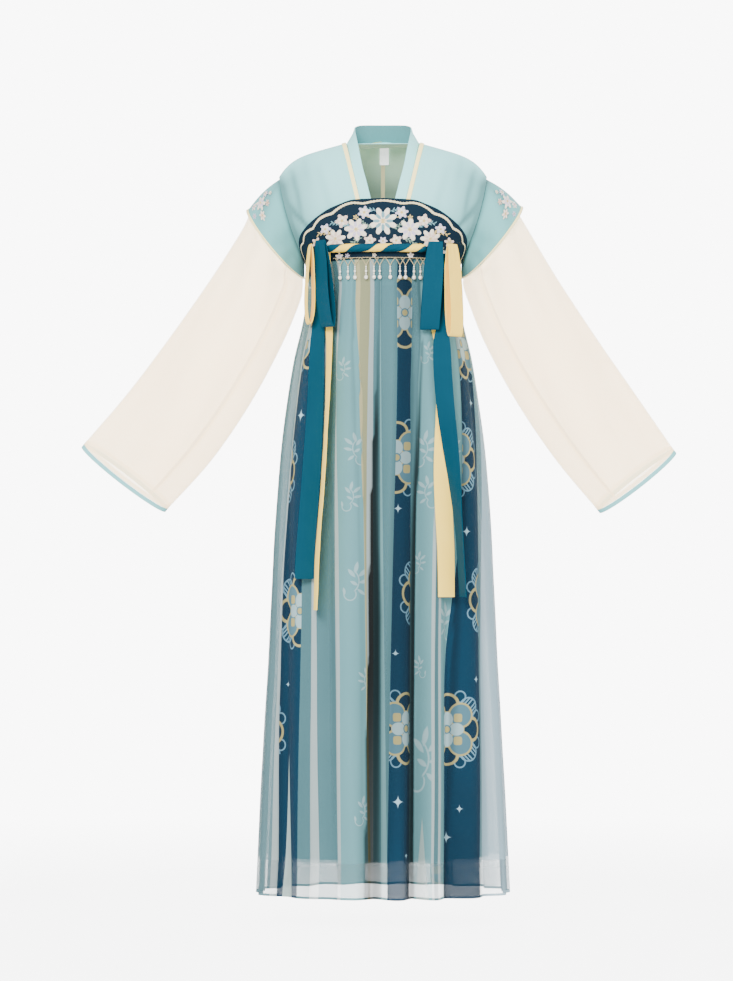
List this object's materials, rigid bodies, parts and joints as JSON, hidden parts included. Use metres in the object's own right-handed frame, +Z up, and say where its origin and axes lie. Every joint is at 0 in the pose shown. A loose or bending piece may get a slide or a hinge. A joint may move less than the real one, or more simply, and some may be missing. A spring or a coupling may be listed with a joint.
{
  "type": "hanfu dress set",
  "caption": "chest-high pleated skirt with a shaped band and ribbons, over a short jacket with long sheer sleeves, as if worn",
  "frame": {"origin": "midway between the two points where the neckline crosses the shoulder seams, where the wearer holds the garment up", "axes": "+Z up, the front faces -Y, the wearer's left is at +X"},
  "size_m": [1.0705, 0.37, 1.3861],
  "materials": {
    "bodice": "pale teal plain-woven cloth, matt",
    "collar": "pale teal cloth, folded band",
    "trim": "cream piping and tape",
    "label": "bare white woven label",
    "half_sleeve": "teal woven cloth, matt",
    "organza": "ivory organza, sheer",
    "cuff": "pale blue binding",
    "band": "dark teal-navy band with embroidery",
    "skirt": "printed chiffon over a lining",
    "lining": "plain lining",
    "teal_ribbon": "deep teal ribbon",
    "cream_ribbon": "cream ribbon with an orange shade inside",
    "beads": "pearl beads, glossy"
  },
  "bodies": {
    "root": {"bead_fringe": "beads", "belt_strand_cream": "cream_ribbon", "belt_strand_teal": "teal_ribbon", "bodice_back": "bodice", "bodice_front_left": "bodice", "bodice_front_right": "bodice", "centre_back_tape": "trim", "chest_band_back": "band", "chest_band_front": "band", "collar_band": "collar", "collar_piping": "trim", "cream_loop_left": "cream_ribbon", "cream_loop_right": "cream_ribbon", "cream_tail_left": "cream_ribbon", "cream_tail_right": "cream_ribbon", "cuff_binding_left": "cuff", "cuff_binding_right": "cuff", "half_sleeve_left": "half_sleeve", "half_sleeve_right": "half_sleeve", "long_sleeve_left": "organza", "long_sleeve_right": "organza", "neck_label": "label", "skirt_back": "skirt", "skirt_front": "skirt", "skirt_lining": "lining", "teal_loop_left": "teal_ribbon", "teal_loop_right": "teal_ribbon", "teal_tail_left": "teal_ribbon", "teal_tail_right": "teal_ribbon"}
  },
  "joints": []
}
